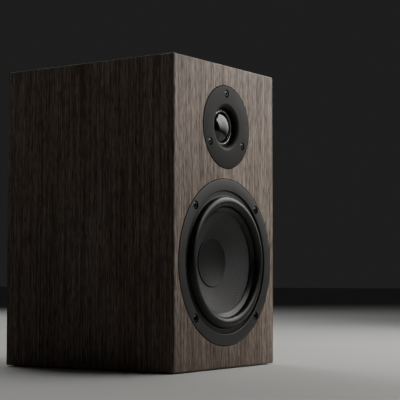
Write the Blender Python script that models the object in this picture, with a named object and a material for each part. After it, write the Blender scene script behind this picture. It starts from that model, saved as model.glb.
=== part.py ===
"""A two-way bass-reflex bookshelf loudspeaker: cabinet, woofer, tweeter, terminals and crossover.

Metres, +Z up. The baffle faces -Y and +X is to the right seen from the front. The origin is below the
middle of the cabinet, on the surface that it stands on.
"""

from math import cos, pi, radians, sin

import bmesh
import bpy
from mathutils import Vector

MM = 0.001

# Cabinet
WIDTH = 193.5 * MM
DEPTH = 226.0 * MM
TOP = 325.0 * MM
UNDERSIDE = 1.0 * MM
BAFFLE_THICKNESS = 18.0 * MM
WALL = 15.0 * MM
SEAM = 0.3 * MM
EDGE_ROUNDING = 0.8 * MM
FRONT = -DEPTH / 2
REAR = DEPTH / 2
BAFFLE_BACK = FRONT + BAFFLE_THICKNESS
INSIDE_REAR = REAR - WALL
INSIDE_HALF_WIDTH = WIDTH / 2 - WALL
INSIDE_FLOOR = UNDERSIDE + WALL
INSIDE_CEILING = TOP - WALL

# Drivers: depths are measured into the cabinet from a plane just in front of the flanges, which stand
# a little proud of the baffle
DRIVER_FACE = FRONT - 0.5 * MM
WOOFER_HEIGHT = 113.2 * MM
WOOFER_RADIUS = 88.7 * MM
WOOFER_SCREW_CIRCLE = 82.4 * MM
WOOFER_SCREWS = 4
WOOFER_HOLE = 74.0 * MM
TWEETER_HEIGHT = 258.2 * MM
TWEETER_RADIUS = 44.5 * MM
TWEETER_SCREW_CIRCLE = 36.1 * MM
TWEETER_SCREWS = 3
TWEETER_HOLE = 31.5 * MM
REBATE_CLEARANCE = 0.4 * MM
WOOFER_REBATE = 5.3 * MM
TWEETER_REBATE = 4.3 * MM
PILOT_DEPTH = 16.5 * MM
FRAME_GAP = 0.3 * MM

# Bass-reflex port, through the rear panel
PORT_HEIGHT = 258.0 * MM
PORT_BORE = 20.0 * MM
PORT_LENGTH = 110.0 * MM
PORT_COLLAR = 30.5 * MM

# Terminal cup and binding posts, in the rear panel
CUP_HEIGHT = 80.0 * MM
CUP_PLATE = (100.0 * MM, 72.0 * MM)
CUP_BODY = (82.0 * MM, 54.0 * MM)
CUP_SCREW_SPACING = (91.0 * MM, 63.0 * MM)
CUP_FLOOR_DEPTH = 17.5 * MM
CUP_SHELL = 2.5 * MM
POST_SPACING = 28.0 * MM
STUD_RADIUS = 3.0 * MM

# Crossover board, clamped behind the cup by the nuts on the studs
BOARD_SIZE = (104.0 * MM, 94.0 * MM)
BOARD_MIDDLE = 89.0 * MM
BOARD_THICKNESS = 1.6 * MM
BOARD_FRONT = REAR - CUP_FLOOR_DEPTH - CUP_SHELL - 0.5 * MM - BOARD_THICKNESS

# Leads from the board to the drivers, the second through a window of the brace, in millimetres
WOOFER_LEAD_ROUTE = (
    (-30, 88, 138),
    (-26, 84, 152),
    (-20, 60, 172),
    (-14, 20, 176),
    (-8, -30, 172),
    (-6, -54, 165),
)
TWEETER_LEAD_ROUTE = (
    (34, 88, 138),
    (38, 84, 152),
    (44, 70, 180),
    (44, 50, 205),
    (40, 10, 225),
    (34, -40, 238),
    (24, -81, 244),
    (18, -86, 248),
)

# Feet
FOOT_RADIUS = 8.0 * MM
FOOT_HEIGHT = 2.2 * MM
FOOT_PLACES = {
    "front_left_foot": (-78.0 * MM, -84.0 * MM),
    "front_right_foot": (78.0 * MM, -84.0 * MM),
    "rear_left_foot": (-78.0 * MM, 98.0 * MM),
    "rear_right_foot": (78.0 * MM, 98.0 * MM),
}

# Sides of round pieces
LARGE_STEPS = 36
MEDIUM_STEPS = 24
SMALL_STEPS = 18
PIN_STEPS = 12
CUTTER_MARGIN = 2.0 * MM
SMOOTH_ANGLE = radians(32)


def clear_scene():
    for old in list(bpy.data.objects):
        bpy.data.objects.remove(old, do_unlink=True)


def material(name, colour, roughness, metallic=0.0):
    made = bpy.data.materials.new(name)
    made.use_nodes = True
    shader = made.node_tree.nodes["Principled BSDF"]
    shader.inputs["Base Color"].default_value = (*colour, 1.0)
    shader.inputs["Roughness"].default_value = roughness
    shader.inputs["Metallic"].default_value = metallic
    return made


def finish(name, bm, look, place=(0, 0, 0), turn=(0, 0, 0)):
    """Turns a bmesh into a named object with its faces pointing out."""
    bmesh.ops.recalc_face_normals(bm, faces=bm.faces)
    mesh = bpy.data.meshes.new(name)
    bm.to_mesh(mesh)
    bm.free()
    mesh.shade_smooth()
    mesh.set_sharp_from_angle(angle=SMOOTH_ANGLE)
    made = bpy.data.objects.new(name, mesh)
    made.location = place
    made.rotation_euler = turn
    bpy.context.scene.collection.objects.link(made)
    if look:
        mesh.materials.append(look)
    return made


def cut(target, bm, place=(0, 0, 0)):
    """Cuts a closed shape out of an object."""
    cutter = finish(target.name + "_cutter", bm, None, place)
    cutter.hide_render = True
    cutter.display_type = "WIRE"
    modifier = target.modifiers.new("Cut", "BOOLEAN")
    modifier.operation = "DIFFERENCE"
    modifier.solver = "EXACT"
    modifier.object = cutter


def bridge(bm, near, far):
    """Joins two rings of vertices, either of which may be a single point on the axis."""
    count = max(len(near), len(far))
    for i in range(count):
        j = (i + 1) % count
        if len(near) == 1:
            bm.faces.new((near[0], far[i], far[j]))
        elif len(far) == 1:
            bm.faces.new((near[i], near[j], far[0]))
        else:
            bm.faces.new((near[i], near[j], far[j], far[i]))


def add_turned(bm, profile, steps, ring=False, centre=(0, 0)):
    """Turns (radius, depth) points about the Y axis through centre (x, z).

    A radius may be a function of the angle. A ring's profile closes on itself. Any other profile starts
    and ends on the axis.
    """
    rows = []
    for radius, depth in profile:
        if radius == 0:
            rows.append([bm.verts.new((centre[0], depth, centre[1]))])
            continue
        row = []
        for step in range(steps):
            angle = 2 * pi * step / steps
            reach = radius(angle) if callable(radius) else radius
            row.append(bm.verts.new((centre[0] + reach * cos(angle), depth, centre[1] + reach * sin(angle))))
        rows.append(row)
    for near, far in zip(rows, rows[1:]):
        bridge(bm, near, far)
    if ring:
        bridge(bm, rows[-1], rows[0])


def turned(name, profile, look, place, steps=MEDIUM_STEPS, ring=False, turn=(0, 0, 0)):
    bm = bmesh.new()
    add_turned(bm, profile, steps, ring)
    return finish(name, bm, look, place, turn)


def lofted(name, outlines, look, place):
    """Joins outlines of equally many (x, z) points at successive depths, and closes both ends."""
    bm = bmesh.new()
    rows = [[bm.verts.new((x, depth, z)) for x, z in outline] for outline, depth in outlines]
    for near, far in zip(rows, rows[1:]):
        bridge(bm, near, far)
    bm.faces.new(rows[0])
    bm.faces.new(rows[-1])
    return finish(name, bm, look, place)


def rounded_rectangle(width, height, corner, steps=4):
    points = []
    for quarter, (side_x, side_z) in enumerate(((1, 1), (-1, 1), (-1, -1), (1, -1))):
        for step in range(steps + 1):
            angle = pi / 2 * (quarter + step / steps)
            x = side_x * (width / 2 - corner) + corner * cos(angle)
            z = side_z * (height / 2 - corner) + corner * sin(angle)
            points.append((x, z))
    return points


def add_box(bm, low, high):
    middle = [(a + b) / 2 for a, b in zip(low, high)]
    made = bmesh.ops.create_cube(bm, size=1.0)
    bmesh.ops.scale(bm, vec=[b - a for a, b in zip(low, high)], verts=made["verts"])
    bmesh.ops.translate(bm, vec=middle, verts=made["verts"])


def box(name, low, high, look, rounding=0.0, keep_back_sharp=False):
    """A box with rounded edges. The edges around its +Y face can stay sharp."""
    bm = bmesh.new()
    add_box(bm, low, high)
    if rounding:
        edges = list(bm.edges)
        if keep_back_sharp:
            edges = [edge for edge in edges if min(v.co.y for v in edge.verts) < high[1]]
        bmesh.ops.bevel(bm, geom=edges, offset=rounding, segments=2, profile=0.5, affect="EDGES")
    return finish(name, bm, look)


def arc(centre, radius, start, end, steps):
    """Points (radius, depth) on an arc, from angle start to angle end in degrees, 90 being deeper."""
    points = []
    for step in range(steps + 1):
        angle = radians(start + (end - start) * step / steps)
        points.append((centre[0] + radius * cos(angle), centre[1] + radius * sin(angle)))
    return points


def millimetres(*points):
    return [(radius * MM, depth * MM) for radius, depth in points]


def hexagon(across_flats):
    """The radius of a hexagon at each angle, with a corner at angle 0."""

    def reach(angle):
        from_flat = (angle % radians(60)) - radians(30)
        return across_flats / 2 / cos(from_flat)

    return reach


def fluted(radius, flute):
    """The radius of a round grip whose every other side is sunk by the flute's depth."""

    def reach(angle):
        step = round(angle / (2 * pi) * SMALL_STEPS)
        return radius - flute * (step % 2)

    return reach


def circle_places(radius, count, first_degrees):
    angles = [radians(first_degrees + 360 * i / count) for i in range(count)]
    return [(radius * cos(angle), radius * sin(angle)) for angle in angles]


WOOFER_SCREW_PLACES = circle_places(WOOFER_SCREW_CIRCLE, WOOFER_SCREWS, 45)
TWEETER_SCREW_PLACES = circle_places(TWEETER_SCREW_CIRCLE, TWEETER_SCREWS, 90)


def add_stepped_hole(bm, centre, steps_down, sides=SMALL_STEPS):
    """A round cutter from (radius, from, to) stages along Y, each starting where the last one ends."""
    profile = [(0, steps_down[0][1])]
    for radius, start, end in steps_down:
        profile += [(radius, start), (radius, end)]
    profile.append((0, steps_down[-1][2]))
    add_turned(bm, profile, sides, centre=centre)


# ---------------------------------------------------------------- cabinet


def mitred_panel(name, outward, look):
    """One of the four walls of the wrap, with 45 degree mitres and its half of the rounded corners."""
    half_width = WIDTH / 2
    half_height = (TOP - UNDERSIDE) / 2
    middle = (TOP + UNDERSIDE) / 2
    along = (-outward[1], outward[0])
    length, reach = (half_height, half_width) if outward[0] else (half_width, half_height)
    setback = SEAM / 2 * 2**0.5
    inner = length - WALL - setback
    corner_centre = length - EDGE_ROUNDING - setback
    outline = [(-inner, reach - WALL), (inner, reach - WALL)]
    outline += arc((corner_centre, reach - EDGE_ROUNDING), EDGE_ROUNDING, 45, 90, 2)
    outline += arc((-corner_centre, reach - EDGE_ROUNDING), EDGE_ROUNDING, 90, 135, 2)
    points = [(s * along[0] + t * outward[0], middle + s * along[1] + t * outward[1]) for s, t in outline]
    return lofted(name, [(points, BAFFLE_BACK + SEAM), (points, REAR)], look, (0, 0, 0))


def front_baffle(look):
    low = (-WIDTH / 2, FRONT, UNDERSIDE)
    high = (WIDTH / 2, BAFFLE_BACK, TOP)
    baffle = box("front_baffle", low, high, look, EDGE_ROUNDING, keep_back_sharp=True)
    through = BAFFLE_THICKNESS + CUTTER_MARGIN
    drivers = (
        (WOOFER_HEIGHT, WOOFER_RADIUS, WOOFER_REBATE, WOOFER_HOLE),
        (TWEETER_HEIGHT, TWEETER_RADIUS, TWEETER_REBATE, TWEETER_HOLE),
    )
    for height, radius, rebate, hole in drivers:
        bm = bmesh.new()
        stages = ((radius + REBATE_CLEARANCE, -CUTTER_MARGIN, rebate), (hole, rebate, through))
        add_stepped_hole(bm, (0, 0), stages, LARGE_STEPS)
        cut(baffle, bm, (0, FRONT, height))
    pilots = (
        (WOOFER_HEIGHT, WOOFER_SCREW_PLACES, WOOFER_REBATE, 2.4 * MM),
        (TWEETER_HEIGHT, TWEETER_SCREW_PLACES, TWEETER_REBATE, 2.0 * MM),
    )
    for height, places, rebate, radius in pilots:
        bm = bmesh.new()
        for centre in places:
            add_stepped_hole(bm, centre, ((radius, rebate - MM, PILOT_DEPTH),), PIN_STEPS)
        cut(baffle, bm, (0, FRONT, height))


def bottom_panel(look):
    panel = mitred_panel("bottom_panel", (0, -1), look)
    pocket_ceiling = FOOT_HEIGHT + SEAM
    bm = bmesh.new()
    for x, y in FOOT_PLACES.values():
        pocket = bmesh.ops.create_cone(
            bm, cap_ends=True, segments=SMALL_STEPS, radius1=FOOT_RADIUS + 0.4 * MM,
            radius2=FOOT_RADIUS + 0.4 * MM, depth=pocket_ceiling + CUTTER_MARGIN,
        )
        middle = (pocket_ceiling - CUTTER_MARGIN) / 2
        bmesh.ops.translate(bm, vec=(x, y, middle), verts=pocket["verts"])
    cut(panel, bm)


def rear_panel(look):
    low = (-INSIDE_HALF_WIDTH + SEAM, INSIDE_REAR, INSIDE_FLOOR + SEAM)
    high = (INSIDE_HALF_WIDTH - SEAM, REAR, INSIDE_CEILING - SEAM)
    panel = box("rear_panel", low, high, look)
    port = bmesh.new()
    port_stage = (PORT_COLLAR + 0.5 * MM, -WALL - CUTTER_MARGIN, CUTTER_MARGIN)
    add_stepped_hole(port, (0, 0), (port_stage,), LARGE_STEPS)
    cut(panel, port, (0, REAR, PORT_HEIGHT))
    cup = bmesh.new()
    outline = rounded_rectangle(CUP_BODY[0] + 3 * MM, CUP_BODY[1] + 3 * MM, 6.5 * MM)
    rows = [
        [cup.verts.new((x, depth, z)) for x, z in outline]
        for depth in (-WALL - CUTTER_MARGIN, CUTTER_MARGIN)
    ]
    bridge(cup, *rows)
    for row in rows:
        cup.faces.new(row)
    cut(panel, cup, (0, REAR, CUP_HEIGHT))
    pilots = bmesh.new()
    for centre in cup_screw_places():
        add_stepped_hole(pilots, centre, ((1.6 * MM, -12 * MM, CUTTER_MARGIN),), PIN_STEPS)
    cut(panel, pilots, (0, REAR, CUP_HEIGHT))


def window_brace(look):
    """A shelf between the drivers, glued to all four walls around it and pierced by four windows."""
    height, thickness, margin, bar = 196 * MM, 12 * MM, 22 * MM, 12 * MM
    half_width = INSIDE_HALF_WIDTH - SEAM
    front, back = BAFFLE_BACK + SEAM, INSIDE_REAR - SEAM
    brace = box("window_brace", (-half_width, front, height), (half_width, back, height + thickness), look)
    middle = (front + back) / 2
    bm = bmesh.new()
    for x_range in ((-half_width + margin, -bar), (bar, half_width - margin)):
        for y_range in ((front + margin, middle - bar), (middle + bar, back - margin)):
            low = (x_range[0], y_range[0], height - CUTTER_MARGIN)
            add_box(bm, low, (x_range[1], y_range[1], height + thickness + CUTTER_MARGIN))
    cut(brace, bm)


def cabinet(looks):
    front_baffle(looks["veneer"])
    mitred_panel("left_side_panel", (-1, 0), looks["veneer"])
    mitred_panel("right_side_panel", (1, 0), looks["veneer"])
    mitred_panel("top_panel", (0, 1), looks["veneer"])
    bottom_panel(looks["veneer"])
    rear_panel(looks["veneer"])
    window_brace(looks["fibreboard"])
    chamfer = 0.6 * MM
    foot = [(0, 0), (FOOT_RADIUS - chamfer, 0), (FOOT_RADIUS, chamfer)]
    foot += [(FOOT_RADIUS, FOOT_HEIGHT), (0, FOOT_HEIGHT)]
    for name, (x, y) in FOOT_PLACES.items():
        turned(name, foot, looks["rubber"], (x, y, 0), SMALL_STEPS, turn=(pi / 2, 0, 0))
    wadding_thickness = 11 * MM
    outer = INSIDE_HALF_WIDTH - SEAM
    for name, side in (("left_wadding", -1), ("right_wadding", 1)):
        x_range = sorted((side * outer, side * (outer - wadding_thickness)))
        low = (x_range[0], -55 * MM, 22 * MM)
        box(name, low, (x_range[1], 85 * MM, 190 * MM), looks["wadding"], 3 * MM)


def port_tube(look):
    """A tube with a rounded mouth and a collar that fills the hole in the rear panel."""
    mouth = 8 * MM
    lip = 2.7 * MM
    profile = [
        (PORT_BORE + 1.2 * MM, -PORT_LENGTH),
        (PORT_BORE + 2.4 * MM, -PORT_LENGTH),
        (PORT_BORE + 2.4 * MM, -WALL - 0.3 * MM),
        (PORT_COLLAR, -WALL - 0.3 * MM),
        (PORT_COLLAR, 0.3 * MM),
        (PORT_COLLAR + 7.5 * MM, 0.3 * MM),
        (PORT_COLLAR + 7.5 * MM, lip - 0.8 * MM),
        (PORT_COLLAR + 6.7 * MM, lip),
    ]
    profile += arc((PORT_BORE + mouth, lip - mouth), mouth, 90, 180, 4)
    profile.append((PORT_BORE, -PORT_LENGTH + 2 * MM))
    turned("port_tube", profile, look, (0, REAR, PORT_HEIGHT), LARGE_STEPS, ring=True)


# ---------------------------------------------------------------- drivers


def socket_screw(name, place, look, head_radius, head_top, head_height, shank_radius, tip, across_flats):
    """A cap screw along +Y with a hexagon socket. Depths are from the baffle's face."""
    socket = hexagon(across_flats)
    under_head = head_top + head_height
    socket_floor = head_top + 0.7 * head_height
    profile = [
        (0, socket_floor),
        (socket, socket_floor),
        (socket, head_top),
        (head_radius - 0.3 * MM, head_top),
        (head_radius, head_top + 0.3 * MM),
        (head_radius, under_head),
        (shank_radius, under_head),
        (shank_radius, tip - shank_radius),
        (0, tip),
    ]
    turned(name, profile, look, place, PIN_STEPS)


def woofer_basket(look, place):
    """Flange, tapering spokes, spider shelf and the rear ring that carries the magnet."""
    profile = millimetres(
        (88.7, 0.2), (76.3, 0.2), (76.3, 3.0), (71.2, 3.0), (70.6, 9.0), (53.5, 36.3), (44.0, 36.3),
        (44.0, 46.5), (30.0, 46.5), (30.0, 49.5), (47.0, 49.5), (47.0, 40.0), (56.5, 38.0), (73.3, 10.0),
        (73.3, 4.4), (88.7, 4.4),
    )
    basket = turned("woofer_basket", profile, look, place, LARGE_STEPS, ring=True)
    bores = bmesh.new()
    stages = ((4.6 * MM, -1.0 * MM, 3.0 * MM), (2.4 * MM, 3.0 * MM, 6.0 * MM))
    for centre in WOOFER_SCREW_PLACES:
        add_stepped_hole(bores, centre, stages, PIN_STEPS)
    cut(basket, bores, place)
    windows = bmesh.new()
    spokes, inner, outer, half_angle = 6, 47.5 * MM, 80 * MM, 22
    for spoke in range(spokes):
        middle = 360 / spokes * spoke + 60
        outline = arc((0, 0), inner, middle - half_angle, middle + half_angle, 2)
        outline += arc((0, 0), outer, middle + half_angle, middle - half_angle, 2)
        rows = [[windows.verts.new((x, depth * MM, z)) for x, z in outline] for depth in (12, 34)]
        bridge(windows, *rows)
        for row in rows:
            windows.faces.new(row)
    cut(basket, windows, place)


def screwed_gasket(name, inner, outer, depths, places, hole, look, place):
    profile = [(outer, depths[0]), (inner, depths[0]), (inner, depths[1]), (outer, depths[1])]
    gasket = turned(name, profile, look, place, LARGE_STEPS, ring=True)
    bores = bmesh.new()
    for centre in places:
        add_stepped_hole(bores, centre, ((hole, depths[0] - MM, depths[1] + MM),), PIN_STEPS)
    cut(gasket, bores, place)


def woofer_surround(look, place):
    """A half-roll of rubber between a flat landing on the basket and a sloping lip on the cone."""
    roll_centre = (64.75 * MM, 2.0 * MM)
    roll, thickness = 5.9 * MM, 0.8 * MM
    profile = millimetres((76.0, 2.7), (76.0, 2.0))
    profile += arc(roll_centre, roll, 0, -180, 6)
    profile += millimetres((54.0, 4.9), (54.0, 5.6), (58.9, 2.9))
    profile += arc(roll_centre, roll - thickness, -180, 0, 6)[1:-1]
    profile += millimetres((70.4, 2.7))
    turned("woofer_surround", profile, look, place, LARGE_STEPS, ring=True)


def woofer_cone(look, place):
    front = millimetres((58.7, 3.4), (54.0, 5.9), (40.0, 13.2), (26.3, 20.3), (17.9, 24.6))
    back = [(radius, depth + 0.9 * MM) for radius, depth in reversed(front)]
    turned("woofer_cone", front + back, look, place, LARGE_STEPS, ring=True)


def dished_disc(name, radius, rim_depth, centre_depth, thickness, rows, look, place):
    """A thin disc whose middle is deeper or shallower than its rim, on a parabola."""
    front = []
    for row in range(rows + 1):
        share = row / rows
        front.append((radius * share, centre_depth + (rim_depth - centre_depth) * share**2))
    back = [(reach, depth + thickness) for reach, depth in reversed(front)]
    turned(name, front + back, look, place, MEDIUM_STEPS)


def woofer_spider(look, place):
    """A corrugated cloth ring from the former to the basket's shelf."""
    inner, outer, landing = 17.9 * MM, 43.0 * MM, 48.0 * MM
    depth, wave, waves, rows, thickness = 35.0 * MM, 1.2 * MM, 2, 8, 0.8 * MM
    front = []
    for row in range(rows + 1):
        share = row / rows
        front.append((inner + (outer - inner) * share, depth + wave * sin(2 * pi * waves * share)))
    front.append((landing, depth))
    back = [(radius, level + thickness) for radius, level in reversed(front)]
    turned("woofer_spider", front + back, look, place, MEDIUM_STEPS, ring=True)


def ring(name, inner, outer, near, far, look, place):
    """A plain ring, sizes in millimetres."""
    profile = millimetres((outer, near), (inner, near), (inner, far), (outer, far))
    turned(name, profile, look, place, MEDIUM_STEPS, ring=True)


def voice_coil(name, inner, outer, winding, depths, wound, look, place):
    """A former with its winding around the lower part, sizes in millimetres."""
    profile = millimetres(
        (outer, depths[0]), (inner, depths[0]), (inner, depths[1]), (winding, depths[1]),
        (winding, wound), (outer, wound),
    )
    turned(name, profile, look, place, MEDIUM_STEPS, ring=True)


def yoke(name, vent, pole, plate, depths, look, place):
    """Pole piece and back plate in one, with a vent along the axis, sizes in millimetres."""
    pole_front, plate_front, back = depths
    profile = millimetres(
        (vent, pole_front), (vent, back), (plate, back), (plate, plate_front), (pole, plate_front),
        (pole, pole_front),
    )
    turned(name, profile, look, place, MEDIUM_STEPS, ring=True)


def woofer(looks):
    place = (0, DRIVER_FACE, WOOFER_HEIGHT)
    woofer_basket(looks["satin_plate"], place)
    screwed_gasket(
        "woofer_gasket", 74.6 * MM, 88.4 * MM, (4.7 * MM, 5.5 * MM), WOOFER_SCREW_PLACES, 2.4 * MM,
        looks["rubber"], place,
    )
    woofer_surround(looks["rubber"], place)
    woofer_cone(looks["cone_fibre"], place)
    dished_disc("woofer_dust_cap", 26.8 * MM, 18.9 * MM, 22.9 * MM, 0.6 * MM, 4, looks["cone_fibre"], place)
    woofer_spider(looks["spider_cloth"], place)
    voice_coil("woofer_voice_coil", 16.7, 17.5, 18.3, (24.3, 59.8), 45.8, looks["copper"], place)
    ring("woofer_top_plate", 19.2, 45.0, 49.8, 55.8, looks["steel"], place)
    ring("woofer_magnet", 26.0, 50.0, 56.1, 74.1, looks["ferrite"], place)
    yoke("woofer_yoke", 5.0, 15.9, 45.0, (49.0, 74.4, 80.4), looks["steel"], place)
    woofer_terminal_strip(looks["circuit_board"])
    for index, (x, z) in enumerate(WOOFER_SCREW_PLACES):
        socket_screw(
            f"woofer_screw_{index + 1}", (x, DRIVER_FACE, WOOFER_HEIGHT + z), looks["black_screw"],
            3.6 * MM, 0.8 * MM, 1.9 * MM, 2.0 * MM, 16.0 * MM, 3.0 * MM,
        )


def woofer_terminal_strip(look):
    """A strip standing on the basket's neck, with two solder tags towards the rear."""
    low, high = WOOFER_HEIGHT + 47.4 * MM, WOOFER_HEIGHT + 49.0 * MM
    half_width, tag, tag_gap = 10 * MM, 2 * MM, 4 * MM
    near, shoulder, far = DRIVER_FACE + 41 * MM, DRIVER_FACE + 49 * MM, DRIVER_FACE + 55 * MM
    outline = [(-half_width, near), (half_width, near), (half_width, shoulder)]
    for side in (1, -1):
        inner, outer = sorted((side * tag_gap, side * (tag_gap + 2 * tag)), reverse=True)
        outline += [(inner, shoulder), (inner, far), (outer, far), (outer, shoulder)]
    outline.append((-half_width, shoulder))
    bm = bmesh.new()
    rows = [[bm.verts.new((x, y, z)) for x, y in outline] for z in (low, high)]
    bridge(bm, *rows)
    for row in rows:
        bm.faces.new(row)
    finish("woofer_terminal_strip", bm, look)


def tweeter_faceplate(look, place):
    """A disc with a flared throat around the dome."""
    profile = millimetres((44.5, 3.4), (44.5, 0.2))
    profile += arc((26.2 * MM, 5.7 * MM), 5.5 * MM, -90, -165, 5)
    profile += millimetres((20.7, 5.0), (20.7, 6.3), (30.8, 6.3), (30.8, 3.4))
    plate = turned("tweeter_faceplate", profile, look, place, LARGE_STEPS, ring=True)
    bores = bmesh.new()
    stages = ((4.2 * MM, -1.0 * MM, 2.3 * MM), (2.0 * MM, 2.3 * MM, 5.0 * MM))
    for centre in TWEETER_SCREW_PLACES:
        add_stepped_hole(bores, centre, stages, PIN_STEPS)
    cut(plate, bores, place)


def tweeter_surround(look, place):
    roll_centre = (16.8 * MM, 6.6 * MM)
    roll, thickness = 1.2 * MM, 0.5 * MM
    profile = millimetres((25.0, 7.1), (25.0, 6.6))
    profile += arc(roll_centre, roll, 0, -180, 4)
    profile += millimetres((15.6, 7.1))
    profile += arc(roll_centre, roll - thickness, -180, 0, 4)
    profile += millimetres((17.65, 7.1))
    turned("tweeter_surround", profile, look, place, MEDIUM_STEPS, ring=True)


def tweeter_top_plate(look, place):
    """A ring whose front is recessed around the gap, to clear the surround."""
    profile = millimetres(
        (18.6, 7.4), (30.5, 7.4), (30.5, 10.9), (16.0, 10.9), (16.0, 8.9), (18.6, 8.9),
    )
    turned("tweeter_top_plate", profile, look, place, MEDIUM_STEPS, ring=True)


def tweeter(looks):
    place = (0, DRIVER_FACE, TWEETER_HEIGHT)
    tweeter_faceplate(looks["satin_plate"], place)
    screwed_gasket(
        "tweeter_gasket", 31.8 * MM, 44.3 * MM, (3.7 * MM, 4.5 * MM), TWEETER_SCREW_PLACES, 2.0 * MM,
        looks["rubber"], place,
    )
    tweeter_surround(looks["rubber"], place)
    dished_disc("tweeter_dome", 15.2 * MM, 6.8 * MM, 1.8 * MM, 0.5 * MM, 4, looks["dome_metal"], place)
    voice_coil("tweeter_voice_coil", 14.2, 14.8, 15.2, (7.7, 12.8), 8.9, looks["copper"], place)
    tweeter_top_plate(looks["steel"], place)
    ring("tweeter_magnet", 18.0, 30.5, 11.2, 20.5, looks["ferrite"], place)
    yoke("tweeter_yoke", 3.0, 13.4, 30.0, (8.9, 20.8, 24.8), looks["steel"], place)
    for index, (x, z) in enumerate(TWEETER_SCREW_PLACES):
        socket_screw(
            f"tweeter_screw_{index + 1}", (x, DRIVER_FACE, TWEETER_HEIGHT + z), looks["black_screw"],
            3.3 * MM, 0.6 * MM, 1.4 * MM, 1.6 * MM, 15.0 * MM, 2.5 * MM,
        )


# ---------------------------------------------------------------- terminals and crossover


def cup_screw_places():
    across, up = CUP_SCREW_SPACING[0] / 2, CUP_SCREW_SPACING[1] / 2
    return [(-across, -up), (across, -up), (across, up), (-across, up)]


def terminal_cup(look):
    """A plate on the rear panel with a tapered recess, open to the rear."""
    plate_near, plate_far = 0.3 * MM, 2.8 * MM
    body, inside = CUP_BODY, [size - 2 * CUP_SHELL - 1 * MM for size in CUP_BODY]
    taper = 4 * MM
    outer_floor = -CUP_FLOOR_DEPTH - CUP_SHELL
    outlines = [
        (rounded_rectangle(body[0] - taper, body[1] - taper, 5 * MM), outer_floor),
        (rounded_rectangle(body[0], body[1], 6 * MM), plate_near),
        (rounded_rectangle(*CUP_PLATE, 8 * MM), plate_near),
        (rounded_rectangle(*CUP_PLATE, 8 * MM), plate_far - 0.6 * MM),
        (rounded_rectangle(CUP_PLATE[0] - 1.2 * MM, CUP_PLATE[1] - 1.2 * MM, 7.4 * MM), plate_far),
        (rounded_rectangle(inside[0], inside[1], 5 * MM), plate_far),
        (rounded_rectangle(inside[0] - taper, inside[1] - taper, 4 * MM), -CUP_FLOOR_DEPTH),
    ]
    cup = lofted("terminal_cup", outlines, look, (0, REAR, CUP_HEIGHT))
    bores = bmesh.new()
    for centre in cup_screw_places():
        stages = ((1.7 * MM, -2 * MM, 1.5 * MM), (3.0 * MM, 1.5 * MM, 4 * MM))
        add_stepped_hole(bores, centre, stages, PIN_STEPS)
    for side in (-1, 1):
        stages = ((STUD_RADIUS + 0.4 * MM, outer_floor - MM, -CUP_FLOOR_DEPTH + MM),)
        add_stepped_hole(bores, (side * POST_SPACING / 2, 0), stages, SMALL_STEPS)
    cut(cup, bores, (0, REAR, CUP_HEIGHT))


def binding_post(colour, side, looks):
    """Stud, inner nut, clamping washer and fluted knob. Depths are from the rear face, +Y outwards."""
    place = (side * POST_SPACING / 2, REAR, CUP_HEIGHT)
    stud = millimetres(
        (0, -13.5), (2.0, -13.5), (2.0, 2.0), (2.6, 2.0), (3.0, 1.6), (3.0, -15.4), (6.5, -15.4),
        (6.5, -17.2), (3.0, -17.2), (3.0, -30.0), (0, -30.0),
    )
    turned(f"{colour}_post_stud", stud, looks["gold"], place, SMALL_STEPS)
    nut = hexagon(10 * MM)
    bore = STUD_RADIUS + 0.35 * MM
    nut_near, nut_far = -27.2 * MM, BOARD_FRONT - REAR - 0.3 * MM
    nut_profile = [(nut, nut_near), (bore, nut_near), (bore, nut_far), (nut, nut_far)]
    turned(f"{colour}_post_nut", nut_profile, looks["steel"], place, SMALL_STEPS, ring=True)
    washer = [(5.8 * MM, -15.1 * MM), (bore, -15.1 * MM), (bore, -14.1 * MM), (5.8 * MM, -14.1 * MM)]
    turned(f"{colour}_post_washer", washer, looks["gold"], place, SMALL_STEPS, ring=True)
    grip = fluted(6.8 * MM, 0.5 * MM)
    knob = [
        (5.6 * MM, -13.8 * MM), (bore, -13.8 * MM), (bore, 3.4 * MM), (6.0 * MM, 3.4 * MM),
        (grip, 2.4 * MM), (grip, -12.4 * MM),
    ]
    turned(f"{colour}_post_knob", knob, looks[f"{colour}_plastic"], place, SMALL_STEPS, ring=True)


def crossover(looks):
    half_width, half_height = BOARD_SIZE[0] / 2, BOARD_SIZE[1] / 2
    low = (-half_width, BOARD_FRONT, BOARD_MIDDLE - half_height)
    high = (half_width, BOARD_FRONT + BOARD_THICKNESS, BOARD_MIDDLE + half_height)
    board = box("crossover_board", low, high, looks["circuit_board"])
    holes = bmesh.new()
    for side in (-1, 1):
        stages = ((STUD_RADIUS + 0.4 * MM, -MM, BOARD_THICKNESS + MM),)
        add_stepped_hole(holes, (side * POST_SPACING / 2, 0), stages, SMALL_STEPS)
    cut(board, holes, (0, BOARD_FRONT, CUP_HEIGHT))
    on_board = BOARD_FRONT - 0.3 * MM
    for name, x, z, radius, height in (
        ("woofer_choke", -28, 112, 19, 22),
        ("tweeter_choke", 29, 115, 14, 16),
    ):
        wound = radius - 1.5
        profile = millimetres(
            (5, -height), (5, 0), (radius, 0), (radius, -1.5), (wound, -1.5), (wound, 1.5 - height),
            (radius, 1.5 - height), (radius, -height),
        )
        turned(name, profile, looks["copper"], (x * MM, on_board, z * MM), SMALL_STEPS, ring=True)
    radius, length = 8.5 * MM, 34 * MM
    can = [(0, 0), (radius - MM, 0), (radius, MM), (radius, length - MM), (radius - MM, length), (0, length)]
    place = (-42 * MM, on_board - radius, 56 * MM)
    turned("film_capacitor", can, looks["capacitor"], place, SMALL_STEPS, turn=(0, 0, -pi / 2))
    low = (8 * MM, on_board - 10 * MM, 51 * MM)
    box("power_resistor", low, (44 * MM, on_board, 61 * MM), looks["ceramic"], 0.6 * MM)


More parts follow.
